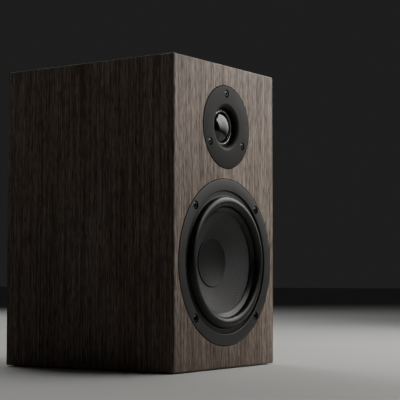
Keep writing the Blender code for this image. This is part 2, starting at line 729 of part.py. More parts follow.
def smooth_route(points, samples):
    """A Catmull-Rom curve through the points, each stretch read at equally many places."""
    route = [Vector(point) for point in points]
    ends = [2 * route[0] - route[1]] + route + [2 * route[-1] - route[-2]]
    read = []
    for a, b, c, d in zip(ends, ends[1:], ends[2:], ends[3:]):
        for sample in range(samples):
            t = sample / samples
            cubic = (-a + 3 * b - 3 * c + d) * t**3 + (2 * a - 5 * b + 4 * c - d) * t**2
            read.append((cubic + (c - a) * t + 2 * b) / 2)
    read.append(route[-1])
    return read


def lead(name, points, look):
    """A twin lead held inside the cabinet, as one round tube."""
    route = smooth_route([[value * MM for value in point] for point in points], 3)
    curve = bpy.data.curves.new(name, "CURVE")
    curve.dimensions = "3D"
    curve.bevel_depth = 1.6 * MM
    curve.bevel_resolution = 2
    curve.use_fill_caps = True
    curve.render_resolution_u = 0
    spline = curve.splines.new("POLY")
    spline.points.add(len(route) - 1)
    for point, place in zip(spline.points, route):
        point.co = (*place, 1.0)
    curve.materials.append(look)
    made = bpy.data.objects.new(name, curve)
    bpy.context.scene.collection.objects.link(made)


def build():
    clear_scene()
    looks = {
        "veneer": material("veneer", (0.13, 0.11, 0.10), 0.55),
        "fibreboard": material("fibreboard", (0.42, 0.31, 0.20), 0.8),
        "circuit_board": material("circuit_board", (0.05, 0.16, 0.08), 0.5),
        "rubber": material("rubber", (0.02, 0.02, 0.02), 0.6),
        "wadding": material("wadding", (0.75, 0.74, 0.70), 0.95),
        "satin_plate": material("satin_plate", (0.045, 0.043, 0.042), 0.5),
        "cone_fibre": material("cone_fibre", (0.05, 0.05, 0.05), 0.5),
        "spider_cloth": material("spider_cloth", (0.55, 0.42, 0.16), 0.85),
        "dome_metal": material("dome_metal", (0.05, 0.05, 0.05), 0.15, 0.6),
        "black_screw": material("black_screw", (0.02, 0.02, 0.02), 0.35, 0.8),
        "black_plastic": material("black_plastic", (0.02, 0.02, 0.02), 0.45),
        "red_plastic": material("red_plastic", (0.45, 0.03, 0.02), 0.4),
        "copper": material("copper", (0.55, 0.22, 0.10), 0.35, 0.9),
        "steel": material("steel", (0.45, 0.45, 0.46), 0.35, 0.9),
        "gold": material("gold", (0.80, 0.60, 0.25), 0.25, 0.9),
        "ferrite": material("ferrite", (0.04, 0.04, 0.045), 0.6),
        "capacitor": material("capacitor", (0.55, 0.42, 0.05), 0.4),
        "ceramic": material("ceramic", (0.75, 0.73, 0.68), 0.7),
    }
    cabinet(looks)
    port_tube(looks["black_plastic"])
    woofer(looks)
    tweeter(looks)
    terminal_cup(looks["black_plastic"])
    screw = millimetres((0, -10.5), (1.25, -9.3), (1.25, 1.8), (2.6, 1.8), (2.6, 2.8), (1.8, 3.4), (0, 3.4))
    for index, (x, z) in enumerate(cup_screw_places()):
        place = (x, REAR, CUP_HEIGHT + z)
        turned(f"terminal_screw_{index + 1}", screw, looks["black_screw"], place, PIN_STEPS)
    binding_post("red", -1, looks)
    binding_post("black", 1, looks)
    crossover(looks)
    lead("woofer_lead", WOOFER_LEAD_ROUTE, looks["black_plastic"])
    lead("tweeter_lead", TWEETER_LEAD_ROUTE, looks["black_plastic"])


build()
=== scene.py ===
"""Looks of the two-way bookshelf loudspeaker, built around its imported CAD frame.

Metres, +Z up. The baffle faces -Y. Profiles are (radius, depth) points in millimetres about an axis along Y.
At the front, depths run into the cabinet from the drivers' plane. At the rear, they run out of the rear face.
"""

from math import cos, pi, radians, sin, sqrt

import bmesh
import bpy
import numpy as np
from mathutils import Matrix, Vector


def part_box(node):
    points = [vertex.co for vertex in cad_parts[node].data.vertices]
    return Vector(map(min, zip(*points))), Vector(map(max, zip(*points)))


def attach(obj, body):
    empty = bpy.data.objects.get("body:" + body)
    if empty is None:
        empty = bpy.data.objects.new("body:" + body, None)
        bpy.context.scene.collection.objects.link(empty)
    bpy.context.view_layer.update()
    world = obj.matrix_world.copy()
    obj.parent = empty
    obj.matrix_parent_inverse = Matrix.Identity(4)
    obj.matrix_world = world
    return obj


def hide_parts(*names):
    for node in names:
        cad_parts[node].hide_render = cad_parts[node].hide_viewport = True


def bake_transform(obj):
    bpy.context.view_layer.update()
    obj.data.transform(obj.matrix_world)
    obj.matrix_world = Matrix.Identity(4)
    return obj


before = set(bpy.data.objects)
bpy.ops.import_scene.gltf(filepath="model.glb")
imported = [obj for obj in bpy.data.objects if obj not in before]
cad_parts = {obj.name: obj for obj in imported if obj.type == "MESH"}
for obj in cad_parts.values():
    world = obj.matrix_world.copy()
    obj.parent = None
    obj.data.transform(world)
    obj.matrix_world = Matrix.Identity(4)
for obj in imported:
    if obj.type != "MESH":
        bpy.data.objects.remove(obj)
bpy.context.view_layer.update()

MM = 0.001


def middle_of(node):
    """The middle of a node's box at rest."""
    low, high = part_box(node)
    return (low + high) / 2


# Places, read from the frame
BAFFLE_LOW, BAFFLE_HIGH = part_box("front_baffle")
FRONT = BAFFLE_LOW.y
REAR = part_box("rear_panel")[1].y
WOOFER = middle_of("woofer_basket")
TWEETER = middle_of("tweeter_faceplate")
PORT = middle_of("port_tube")
CUP = middle_of("terminal_cup")

# The drivers' plane, as in the frame: the woofer's gasket is this deep behind it, and the baffle's face is
# 0.5 mm behind it
GASKET_DEPTH = 4.7 * MM
DRIVER_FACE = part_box("woofer_gasket")[0].y - GASKET_DEPTH
WOOFER_PLACE = (WOOFER.x, DRIVER_FACE, WOOFER.z)
TWEETER_PLACE = (TWEETER.x, DRIVER_FACE, TWEETER.z)
WOOFER_RADIUS = (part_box("woofer_basket")[1].x - WOOFER.x) / MM
TWEETER_RADIUS = (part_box("tweeter_faceplate")[1].x - TWEETER.x) / MM

# Sides of round pieces: enough for smooth outlines, and multiples of six for the hexagon sockets
FINE = 180
MEDIUM = 96
SMALL = 48
SMOOTH_ANGLE = radians(35)


# ---------------------------------------------------------------- materials


class Look:
    """A procedural material under construction, around one Principled shader."""

    def __init__(self, name, **constants):
        self.material = bpy.data.materials.new(name)
        self.material.use_nodes = True
        self.tree = self.material.node_tree
        self.shader = self.tree.nodes["Principled BSDF"]
        self.place = self.add("ShaderNodeTexCoord").outputs["Object"]
        for socket, value in constants.items():
            self.set(socket.replace("_", " "), value)

    def add(self, kind, inputs=None, **settings):
        node = self.tree.nodes.new(kind)
        for key, value in settings.items():
            setattr(node, key, value)
        for key, value in (inputs or {}).items():
            self.feed(node.inputs[key], value)
        return node

    def feed(self, socket, value):
        if isinstance(value, bpy.types.NodeSocket):
            self.tree.links.new(value, socket)
        else:
            socket.default_value = value

    def set(self, socket, value):
        self.feed(self.shader.inputs[socket], value)

    def math(self, operation, *values):
        return self.add("ShaderNodeMath", dict(enumerate(values)), operation=operation).outputs[0]

    def stretch(self, scales):
        inputs = {0: self.place, 1: scales}
        return self.add("ShaderNodeVectorMath", inputs, operation="MULTIPLY").outputs[0]

    def noise(self, scale, detail=3.0, roughness=0.5, where=None, distortion=0.0):
        inputs = {
            "Vector": where or self.place,
            "Scale": scale,
            "Detail": detail,
            "Roughness": roughness,
            "Distortion": distortion,
        }
        return self.add("ShaderNodeTexNoise", inputs).outputs["Fac"]

    def range(self, value, low, high, to_low, to_high):
        inputs = {"Value": value, "From Min": low, "From Max": high, "To Min": to_low, "To Max": to_high}
        return self.add("ShaderNodeMapRange", inputs).outputs["Result"]

    def ramp(self, factor, *stops):
        node = self.add("ShaderNodeValToRGB", {"Fac": factor})
        elements = node.color_ramp.elements
        while len(elements) < len(stops):
            elements.new(0.5)
        for element, (position, colour) in zip(elements, stops):
            element.position = position
            element.color = (*colour, 1.0)
        return node.outputs["Color"]

    def mix(self, factor, first, second, blend="MIX"):
        inputs = {"Factor": factor, "A": first, "B": second}
        node = self.add("ShaderNodeMix", data_type="RGBA", blend_type=blend)
        by_name = {socket.name: socket for socket in node.inputs if socket.enabled}
        for key, value in inputs.items():
            if isinstance(value, tuple):
                value = (*value, 1.0)
            self.feed(by_name[key], value)
        return next(socket for socket in node.outputs if socket.enabled)

    def bump(self, height, depth, strength=1.0):
        """Relief of the given depth in metres."""
        node = self.add("ShaderNodeBump", {"Height": height, "Distance": depth, "Strength": strength})
        self.set("Normal", node.outputs["Normal"])


def veneer(name, grain):
    """Dark grey-brown open-pored veneer, with the grain along one axis."""
    look = Look(name, IOR=1.45, Specular_IOR_Level=0.22)

    def along_grain(stretch):
        return look.stretch({"x": (stretch, 1.0, 1.0), "z": (1.0, 1.0, stretch)}[grain])

    def layer(colour, noise, low, high, dark, light):
        """Darkens or lightens a colour where a noise is below low or above high."""
        return look.mix(1.0, colour, look.ramp(noise, (low, dark), (high, light)), "MULTIPLY")

    # The figure of the wood, from wide bands to fine pores
    bands = look.noise(24.0, 2.0, 0.5, along_grain(0.18), 0.5)
    streaks = look.noise(520.0, 2.0, 0.6, along_grain(0.016))
    dashes = look.noise(760.0, 2.0, 0.6, along_grain(0.095), 0.05)
    pores = look.noise(900.0, 1.0, 0.5, along_grain(0.10), 0.2)
    hue = look.noise(26.0, 2.0, 0.5, along_grain(0.25), 0.3)
    colour = look.ramp(hue, (0.34, (0.250, 0.199, 0.166)), (0.66, (0.235, 0.203, 0.176)))
    colour = layer(colour, bands, 0.32, 0.60, (0.80, 0.79, 0.78), (1.05, 1.05, 1.05))
    colour = layer(colour, streaks, 0.36, 0.60, (0.56, 0.53, 0.51), (1.20, 1.20, 1.20))
    colour = layer(colour, dashes, 0.34, 0.60, (0.60, 0.57, 0.55), (1.18, 1.18, 1.18))
    colour = layer(colour, pores, 0.38, 0.46, (0.62, 0.59, 0.57), (1.03, 1.03, 1.03))
    # Painted shade: the veneer is darkened low down and towards the left, where the key light falls off
    x, _, z = look.add("ShaderNodeSeparateXYZ", {0: look.place}).outputs
    painted_falloff_shade = look.range(look.math("ADD", look.math("MULTIPLY", x, 0.9), z), -0.02, 0.26, 0.0, 1.0)
    colour = layer(colour, painted_falloff_shade, 0.0, 1.0, (0.60, 0.57, 0.56), (1.0, 1.0, 1.0))
    look.set("Base Color", colour)
    look.set("Roughness", look.range(dashes, 0.3, 0.7, 0.62, 0.50))
    open_pores = look.range(pores, 0.36, 0.48, 0.0, 1.0)
    pore_depth = 0.12 * MM
    look.bump(look.math("ADD", open_pores, look.math("MULTIPLY", dashes, 0.6)), pore_depth, 0.8)
    return look.material


def satin_paint(name, colour, roughness, specular, speckle=0.12):
    """Fine powder coat on cast metal."""
    look = Look(name, Specular_IOR_Level=specular)
    grain = look.noise(2600.0, 2.0, 0.6)
    cloud = look.noise(60.0, 3.0, 0.5)
    dark = tuple(part * (1 - speckle) for part in colour)
    light = tuple(part * (1 + speckle) for part in colour)
    shade = look.ramp(look.math("ADD", look.math("MULTIPLY", grain, 0.6), look.math("MULTIPLY", cloud, 0.4)),
                      (0.35, dark), (0.65, light))
    look.set("Base Color", shade)
    look.set("Roughness", look.range(cloud, 0.3, 0.7, roughness - 0.04, roughness + 0.04))
    look.bump(grain, 0.00003, 0.6)
    return look.material


def moulded(name, colour, roughness, grain_scale=1400.0, relief=0.00003, specular=0.5):
    """Moulded plastic or rubber with a fine grain."""
    look = Look(name, Specular_IOR_Level=specular)
    grain = look.noise(grain_scale, 3.0, 0.55)
    cloud = look.noise(45.0, 2.0, 0.5)
    dark = tuple(part * 0.86 for part in colour)
    light = tuple(part * 1.14 for part in colour)
    look.set("Base Color", look.ramp(cloud, (0.35, dark), (0.65, light)))
    look.set("Roughness", look.range(grain, 0.3, 0.7, roughness - 0.05, roughness + 0.05))
    look.bump(grain, relief, 0.5)
    return look.material


def woven(name, warp, weft, pitch, roughness, relief, gap=0.35, specular=0.3, turn=45.0):
    """Plain weave seen along Y, its threads at an angle to the vertical, gap being how light the painted
    shade between its threads is.
    """
    look = Look(name, Specular_IOR_Level=specular)
    x, _, z = look.add("ShaderNodeSeparateXYZ", {0: look.place}).outputs
    across, up = cos(radians(turn)) / pitch, sin(radians(turn)) / pitch
    u = look.math("ADD", look.math("MULTIPLY", x, across), look.math("MULTIPLY", z, up))
    v = look.math("SUBTRACT", look.math("MULTIPLY", z, across), look.math("MULTIPLY", x, up))
    round_u = look.math("ABSOLUTE", look.math("SINE", look.math("MULTIPLY", u, pi)))
    round_v = look.math("ABSOLUTE", look.math("SINE", look.math("MULTIPLY", v, pi)))
    cell = look.math("ADD", look.math("FLOOR", u), look.math("FLOOR", v))
    warp_on_top = look.math("ABSOLUTE", look.math("MODULO", cell, 2.0))
    over = look.math("MULTIPLY", look.math("SQRT", round_v), look.range(round_u, 0.0, 1.0, 0.45, 1.0))
    under = look.math("MULTIPLY", look.math("SQRT", round_u), look.range(round_v, 0.0, 1.0, 0.45, 1.0))
    height = look.add("ShaderNodeMix", {"Factor": warp_on_top}, data_type="FLOAT")
    look.feed(height.inputs[2], under)
    look.feed(height.inputs[3], over)
    relief_height = height.outputs[0]
    thread = look.mix(warp_on_top, weft, warp)
    wear = look.noise(90.0, 3.0, 0.5)
    # Painted shade: where the threads dip between each other the colour falls to the gap tone
    shade = look.ramp(relief_height, (0.30, (gap, gap, gap)), (0.95, (1.0, 1.0, 1.0)))
    colour = look.mix(1.0, thread, shade, "MULTIPLY")
    cloud = look.ramp(wear, (0.3, (0.88, 0.88, 0.88)), (0.7, (1.1, 1.1, 1.1)))
    look.set("Base Color", look.mix(1.0, colour, cloud, "MULTIPLY"))
    look.set("Roughness", look.range(relief_height, 0.0, 1.0, roughness + 0.15, roughness))
    look.bump(relief_height, relief, 0.8)
    return look.material


def metal(name, colour, roughness, streak=0.06, scale=(900.0, 60.0, 900.0)):
    """Metal with faint machining or polishing streaks."""
    look = Look(name, Metallic=1.0)
    lines = look.noise(1.0, 3.0, 0.6, look.stretch(scale))
    dark = tuple(part * 0.82 for part in colour)
    light = tuple(min(1.0, part * 1.12) for part in colour)
    look.set("Base Color", look.ramp(lines, (0.3, dark), (0.7, light)))
    look.set("Roughness", look.range(lines, 0.3, 0.7, max(0.03, roughness - streak), roughness + streak))
    look.bump(lines, 0.000006, 0.4)
    return look.material


def screw_with_painted_socket_shade(name, colour, roughness, socket_radius):
    """Blackened steel turned about Y, with painted shade making it almost black inside its socket."""
    look = Look(name, Metallic=1.0)
    x, _, z = look.add("ShaderNodeSeparateXYZ", {0: look.place}).outputs
    radius = look.math("SQRT", look.math("ADD", look.math("MULTIPLY", x, x), look.math("MULTIPLY", z, z)))
    clear_of_painted_shade = look.range(radius, socket_radius - 0.1 * MM, socket_radius, 0.0, 1.0)
    grain = look.noise(900.0, 3.0, 0.6)
    dark = tuple(part * 0.82 for part in colour)
    light = tuple(part * 1.12 for part in colour)
    finish = look.ramp(grain, (0.3, dark), (0.7, light))
    # Painted shade: inside the socket radius the colour drops to almost black, where shade falls in the
    # recess
    look.set("Base Color", look.mix(clear_of_painted_shade, (0.003, 0.003, 0.003), finish))
    look.set("Roughness", look.range(grain, 0.3, 0.7, roughness - 0.03, roughness + 0.03))
    look.bump(grain, 0.000006, 0.4)
    return look.material


def windings(name, pitch):
    """Enamelled copper wire wound about Y, with painted shade in the grooves between turns."""
    look = Look(name, Metallic=1.0, Coat_Weight=0.6, Coat_Roughness=0.15)
    _, y, _ = look.add("ShaderNodeSeparateXYZ", {0: look.place}).outputs
    turns = look.math("ABSOLUTE", look.math("SINE", look.math("MULTIPLY", y, pi / pitch)))
    # Painted shade: the colour darkens to deep brown in the grooves between neighbouring turns
    look.set("Base Color", look.ramp(turns, (0.0, (0.12, 0.035, 0.012)), (0.6, (0.62, 0.25, 0.11))))
    look.set("Roughness", look.range(turns, 0.0, 1.0, 0.45, 0.24))
    look.bump(turns, pitch * 0.3, 0.8)
    return look.material


def fibrous(name, dark, light, scale, relief, roughness=0.9, sheen=0.0):
    """Pressed or loose fibres without a direction."""
    look = Look(name, Sheen_Weight=sheen, Sheen_Roughness=0.5)
    fibres = look.noise(scale, 6.0, 0.7, distortion=1.2)
    look.set("Base Color", look.ramp(fibres, (0.3, dark), (0.7, light)))
    look.set("Roughness", look.range(fibres, 0.3, 0.7, roughness, roughness - 0.1))
    look.bump(fibres, relief, 0.8)
    return look.material


def circuit_board():
    """Green solder mask over lighter tracks."""
    look = Look("circuit_board", Specular_IOR_Level=0.5, Coat_Weight=0.3)
    x, _, z = look.add("ShaderNodeSeparateXYZ", {0: look.place}).outputs
    row_pitch, column_pitch = 0.009, 0.021
    rows = look.math("ABSOLUTE", look.math("SINE", look.math("MULTIPLY", z, pi / row_pitch)))
    columns = look.math("ABSOLUTE", look.math("SINE", look.math("MULTIPLY", x, pi / column_pitch)))
    tracks = look.math("MAXIMUM", rows, columns)
    cloth = look.noise(1500.0, 2.0, 0.5)
    mask = look.ramp(cloth, (0.3, (0.012, 0.075, 0.030)), (0.7, (0.018, 0.105, 0.042)))
    look.set("Base Color", look.mix(look.range(tracks, 0.93, 0.96, 0.0, 0.6), mask, (0.05, 0.21, 0.09)))
    look.set("Roughness", look.range(cloth, 0.3, 0.7, 0.32, 0.45))
    look.bump(look.range(tracks, 0.93, 0.96, 0.0, 1.0), 0.00004, 0.6)
    return look.material


LOOKS = {
    "veneer": veneer("veneer_upright", "z"),
    "veneer_across": veneer("veneer_across", "x"),
    "fibreboard": fibrous("fibreboard", (0.25, 0.16, 0.09), (0.40, 0.28, 0.17), 900.0, 0.00005),
    "rubber": moulded("surround_rubber", (0.0065, 0.0065, 0.0067), 0.29, 2200.0, 0.000015, specular=0.24),
    "dull_rubber": moulded("dull_rubber", (0.026, 0.026, 0.027), 0.62, 1500.0),
    "wadding": fibrous("wadding", (0.60, 0.59, 0.55), (0.88, 0.87, 0.83), 260.0, 0.0006, 0.98, sheen=0.3),
    "satin_plate": satin_paint("satin_plate", (0.021, 0.0203, 0.0196), roughness=0.40, specular=0.28),
    "tweeter_satin": satin_paint("tweeter_satin", (0.0115, 0.0113, 0.011), roughness=0.48, specular=0.11),
    "cone_fibre": woven(
        "cone_weave",
        # The warp is about twice as light as the weft: painted sheen, for the alternate cells that catch the
        # light; gap 0 paints the gaps black as shade
        warp=(0.0225, 0.022, 0.0225),
        weft=(0.0105, 0.010, 0.0105),
        pitch=1.55 * MM,
        roughness=0.38,
        relief=0.0006,
        gap=0.0,
        specular=0.58,
    ),
    "cap_fibre": woven(
        "cap_weave",
        warp=(0.0045, 0.0045, 0.0048),
        weft=(0.0055, 0.0055, 0.0058),
        pitch=0.8 * MM,
        roughness=0.44,
        relief=0.00002,
        gap=0.7,
        specular=0.24,
    ),
    "spider_cloth": woven(
        "spider_cloth",
        warp=(0.50, 0.36, 0.12),
        weft=(0.42, 0.29, 0.09),
        pitch=1.1 * MM,
        roughness=0.75,
        relief=0.00008,
        gap=0.5,
    ),
    "dome_metal": metal("dome_metal", (0.068, 0.068, 0.070), 0.11, streak=0.012, scale=(260.0, 260.0, 260.0)),
    "trim_metal": metal("trim_metal", (0.42, 0.42, 0.42), 0.14, streak=0.02, scale=(260.0, 260.0, 260.0)),
    "dome_rubber": moulded("dome_rubber", (0.005, 0.005, 0.0052), 0.42, 1800.0, 0.00001, specular=0.10),
    "black_screw": metal("black_screw", (0.034, 0.034, 0.036), 0.23, streak=0.03),
    "screw_with_painted_socket_shade": screw_with_painted_socket_shade("screw_with_painted_socket_shade", (0.038, 0.038, 0.040), 0.24, socket_radius=1.5 * MM),
    "black_plastic": moulded("black_plastic", (0.022, 0.022, 0.023), 0.46, 1100.0, 0.00005),
    "red_plastic": moulded("red_plastic", (0.42, 0.022, 0.016), 0.34, 1600.0, 0.00002),
    "copper": windings("copper_winding", 0.8 * MM),
    "steel": metal("steel", (0.52, 0.52, 0.53), 0.34, streak=0.08),
    "gold": metal("gold", (0.86, 0.63, 0.27), 0.20, streak=0.04),
    "ferrite": fibrous("ferrite", (0.030, 0.030, 0.033), (0.050, 0.050, 0.054), 1400.0, 0.00004, 0.72),
    "circuit_board": circuit_board(),
    "capacitor": moulded("capacitor_film", (0.60, 0.44, 0.07), 0.30, 500.0, 0.00002),
    "ceramic": fibrous("ceramic", (0.66, 0.64, 0.59), (0.80, 0.78, 0.74), 1200.0, 0.00006, 0.85),
}


# ---------------------------------------------------------------- mesh helpers


def piece(name, bm, look, body, replaced=(), place=(0, 0, 0)):
    """Turns a bmesh into a visible piece that rides on a body and stands for CAD nodes."""
    bmesh.ops.recalc_face_normals(bm, faces=bm.faces)
    mesh = bpy.data.meshes.new(name)
    bm.to_mesh(mesh)
    bm.free()
    mesh.shade_smooth()
    mesh.set_sharp_from_angle(angle=SMOOTH_ANGLE)
    mesh.materials.append(LOOKS[look])
    made = bpy.data.objects.new(name, mesh)
    made.location = place
    bpy.context.scene.collection.objects.link(made)
    if body:
        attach(made, body)
    if replaced:
        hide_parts(*replaced)
    return made


def carve(target, bm, place):
    """Cuts a closed shape out of a piece for good."""
    bmesh.ops.recalc_face_normals(bm, faces=bm.faces)
    mesh = bpy.data.meshes.new("cutter")
    bm.to_mesh(mesh)
    bm.free()
    cutter = bpy.data.objects.new("cutter", mesh)
    cutter.location = place
    bpy.context.scene.collection.objects.link(cutter)
    modifier = target.modifiers.new("Carve", "BOOLEAN")
    modifier.operation = "DIFFERENCE"
    modifier.solver = "EXACT"
    modifier.object = cutter
    depsgraph = bpy.context.evaluated_depsgraph_get()
    carved = bpy.data.meshes.new_from_object(target.evaluated_get(depsgraph))
    target.modifiers.remove(modifier)
    old = target.data
    target.data = carved
    bpy.data.meshes.remove(old)
    bpy.data.objects.remove(cutter, do_unlink=True)
    bpy.data.meshes.remove(mesh)
    carved.name = target.name
    carved.shade_smooth()
    carved.set_sharp_from_angle(angle=SMOOTH_ANGLE)


def bridge(bm, near, far):
    """Joins two rings of vertices, either of which may be a single point on the axis."""
    count = max(len(near), len(far))
    for i in range(count):
        j = (i + 1) % count
        if len(near) == 1:
            bm.faces.new((near[0], far[i], far[j]))
        elif len(far) == 1:
            bm.faces.new((near[i], near[j], far[0]))
        else:
            bm.faces.new((near[i], near[j], far[j], far[i]))


def add_turned(bm, profile, steps, ring=False, centre=(0, 0)):
    """Turns (radius, depth) millimetre points about Y. A radius may be a function of the angle."""
    rows = []
    for radius, depth in profile:
        y = depth * MM
        if not callable(radius) and abs(radius) < 1e-6:
            rows.append([bm.verts.new((centre[0] * MM, y, centre[1] * MM))])
            continue
        row = []
        for step in range(steps):
            angle = 2 * pi * step / steps
            reach = radius(angle) if callable(radius) else radius
            x = (centre[0] + reach * cos(angle)) * MM
            z = (centre[1] + reach * sin(angle)) * MM
            row.append(bm.verts.new((x, y, z)))
        rows.append(row)
    for near, far in zip(rows, rows[1:]):
        bridge(bm, near, far)
    if ring:
        bridge(bm, rows[-1], rows[0])


def turned(name, profile, look, body, replaced, place, steps=FINE, ring=True):
    """A turned piece. A ring's profile closes on itself, and any other starts and ends on the axis."""
    bm = bmesh.new()
    add_turned(bm, profile, steps, ring)
    return piece(name, bm, look, body, replaced, place)


def arc(centre, radius, start, end, steps):
    """Points on an arc from angle start to angle end in degrees, 90 being deeper."""
    points = []
    for step in range(steps + 1):
        angle = radians(start + (end - start) * step / steps)
        points.append((centre[0] + radius * cos(angle), centre[1] + radius * sin(angle)))
    return points


def hexagon(across_flats):
    """The reach of a hexagon's outline at each angle."""

    def reach(angle):
        return across_flats / 2 / cos(angle % radians(60) - radians(30))

    return reach


def axis_places(nodes, centre):
    """Where the nodes' axes lie from a centre, in millimetres, as the frame has them."""
    places = []
    for node in nodes:
        low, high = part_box(node)
        places.append((((low.x + high.x) / 2 - centre[0]) / MM, ((low.z + high.z) / 2 - centre[2]) / MM))
    return places


def stepped(stages):
    """The outline of a round cutter from (radius, from, to) stages along the depth."""
    profile = [(0, stages[0][1])]
    for radius, start, end in stages:
        profile += [(radius, start), (radius, end)]
    profile.append((0, stages[-1][2]))
    return profile


def carve_holes(target, centres, stages, place, steps=SMALL):
    """Cuts the same stepped hole at each centre."""
    bm = bmesh.new()
    for centre in centres:
        add_turned(bm, stepped(stages), steps, centre=centre)
    carve(target, bm, place)


WOOFER_SCREWS = axis_places([f"woofer_screw_{index}" for index in range(1, 5)], WOOFER_PLACE)
TWEETER_SCREWS = axis_places([f"tweeter_screw_{index}" for index in range(1, 4)], TWEETER_PLACE)


# ---------------------------------------------------------------- cabinet


def baffle():
    """The veneered slab with rounded edges, its two stepped cut-outs and the screws' pilot holes."""
    bm = bmesh.new()
    made = bmesh.ops.create_cube(bm, size=1.0)
    bmesh.ops.scale(bm, vec=BAFFLE_HIGH - BAFFLE_LOW, verts=made["verts"])
    bmesh.ops.translate(bm, vec=(BAFFLE_HIGH + BAFFLE_LOW) / 2, verts=made["verts"])
    rounding = 2.0 * MM
    edges = [edge for edge in bm.edges if min(v.co.y for v in edge.verts) < BAFFLE_HIGH.y - MM]
    bmesh.ops.bevel(bm, geom=edges, offset=rounding, segments=6, profile=0.5, affect="EDGES")
    slab = piece("baffle_slab", bm, "veneer", "cabinet", ["front_baffle"])
    gap, chamfer, through = 0.65, 0.8, 20.0
    # Each driver's place, flange radius, rebate depth and hole radius
    drivers = ((WOOFER_PLACE, WOOFER_RADIUS, 5.8, 74.0), (TWEETER_PLACE, TWEETER_RADIUS, 4.8, 31.5))
    for place, flange, rebate, hole in drivers:
        edge = flange + gap
        profile = [(0, -chamfer), (edge + 2 * chamfer, -chamfer), (edge, chamfer), (edge, rebate)]
        profile += [(hole, rebate), (hole, through), (0, through)]
        cutter = bmesh.new()
        add_turned(cutter, profile, FINE)
        carve(slab, cutter, place)
    pilot_from, pilot_to, pilot_sides = 4.0, 16.5, 24
    carve_holes(slab, WOOFER_SCREWS, ((2.4, pilot_from, pilot_to),), WOOFER_PLACE, pilot_sides)
    carve_holes(slab, TWEETER_SCREWS, ((2.0, pilot_from, pilot_to),), TWEETER_PLACE, pilot_sides)


def repaint(node, look):
    """A CAD node whose shape is right keeps its mesh and gets a finished material."""
    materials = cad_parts[node].data.materials
    materials.clear()
    materials.append(LOOKS[look])


def foot(node):
    """A low rubber pad with a rounded lower edge, turned about Y and stood up."""
    low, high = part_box(node)
    middle = middle_of(node)
    radius, height, rounding = (high.x - low.x) / 2 / MM, (high.z - low.z) / MM, 0.7
    profile = [(0, 0), (radius - 1.0, 0)]
    profile += arc((radius - rounding, rounding), rounding, -90, 0, 5)
    profile += [(radius, height), (0, height)]
    bm = bmesh.new()
    add_turned(bm, profile, SMALL)
    bmesh.ops.rotate(bm, cent=(0, 0, 0), matrix=Matrix.Rotation(pi / 2, 3, "X"), verts=bm.verts)
    piece(node + "_pad", bm, "dull_rubber", "cabinet", [node], (middle.x, middle.y, low.z))


def cabinet():
    baffle()
    for node in ("left_side_panel", "right_side_panel", "rear_panel"):
        repaint(node, "veneer")
    for node in ("top_panel", "bottom_panel"):
        repaint(node, "veneer_across")
    repaint("window_brace", "fibreboard")
    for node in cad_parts:
        if node.endswith("_foot"):
            foot(node)


# ---------------------------------------------------------------- drivers: depths run in from their plane


def cap_screw(name, node, place, head_radius, head_top, head_height, shank, tip, flats):
    """A black button screw: crowned head, hexagon socket whose corners end in the head, and thread."""
    socket = hexagon(flats)
    wide_socket = hexagon(flats + 0.12)
    under = head_top + head_height
    floor = head_top + 0.95 * head_height
    profile = [(0, floor + 0.25), (socket, floor), (socket, head_top + 0.2), (wide_socket, head_top + 0.02)]
    crown, crown_steps, rounding = 0.4, 8, 0.25
    edge = flats / 2 + 0.45
    for step in range(1, crown_steps):
        share = step / crown_steps
        profile.append((edge + (head_radius - 0.15 - edge) * share, head_top + crown * share**2))
    profile += arc((head_radius - rounding, head_top + crown + 0.15), rounding, -70, 0, 4)
    profile += [(head_radius, under), (shank, under)]
    pitch, thread_depth, depth = 0.9, 0.28, under + 0.6
    while depth < tip - 2 * shank:
        root = (shank - thread_depth, depth + 0.45 * pitch)
        profile += [(shank, depth), root, (shank, depth + 0.9 * pitch)]
        depth += pitch
    profile += [(shank - 0.2, tip - shank), (0, tip)]
    turned(name, profile, "screw_with_painted_socket_shade", "cabinet", [node], place, SMALL, ring=False)


def woofer_frame():
    """The cast basket: satin flange with screw wells, a stepped recess, spokes and rear ring."""
    rounding = 0.5
    flange = [(WOOFER_RADIUS, 4.4)] + arc((WOOFER_RADIUS - rounding, 0.7), rounding, 0, -90, 5)
    recess = arc((77.2, 1.1), 0.9, -90, -180, 6)[:-1] + [(76.3, 1.2), (76.3, 2.75), (76.05, 3.0)]
    recess += [(71.2, 3.0), (70.6, 9.0), (53.5, 36.3), (44.0, 36.3), (44.0, 46.5), (30.0, 46.5)]
    behind = [(30.0, 49.5), (47.0, 49.5), (47.0, 40.0), (56.5, 38.0), (73.3, 10.0), (73.3, 4.4)]
    profile = flange + recess + behind
    frame_piece = turned("woofer_frame", profile, "satin_plate", "cabinet", ["woofer_basket"], WOOFER_PLACE)
    # Chamfered rim, seat of the head and hole for the shank
    wells = ((5.05, -0.6, -0.3), (4.6, 0.35, 3.0), (2.4, 3.0, 6.0))
    carve_holes(frame_piece, WOOFER_SCREWS, wells, WOOFER_PLACE)
    count, first, inner, outer, half_angle, depths = 6, 60, 47.5, 80.0, 22.0, (12, 34)
    windows = bmesh.new()
    for window in range(count):
        middle = 360 / count * window + first
        outline = arc((0, 0), inner, middle - half_angle, middle + half_angle, 8)
        outline += arc((0, 0), outer, middle + half_angle, middle - half_angle, 8)
        rows = [[windows.verts.new((x * MM, depth * MM, z * MM)) for x, z in outline] for depth in depths]
        bridge(windows, *rows)
        for row in rows:
            windows.faces.new(row)
    carve(frame_piece, windows, WOOFER_PLACE)


def flex(made, axis_place):
    """Bakes a ring's place about the axis into its mesh. The ring rides on no body, and nothing lets it bend.

    Known fault: the ring gets no weights, so its outer edge does not stay with one body while its inner edge
    moves with the other.
    """
    made.parent = None
    made.matrix_world = Matrix.Translation(axis_place)
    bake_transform(made)


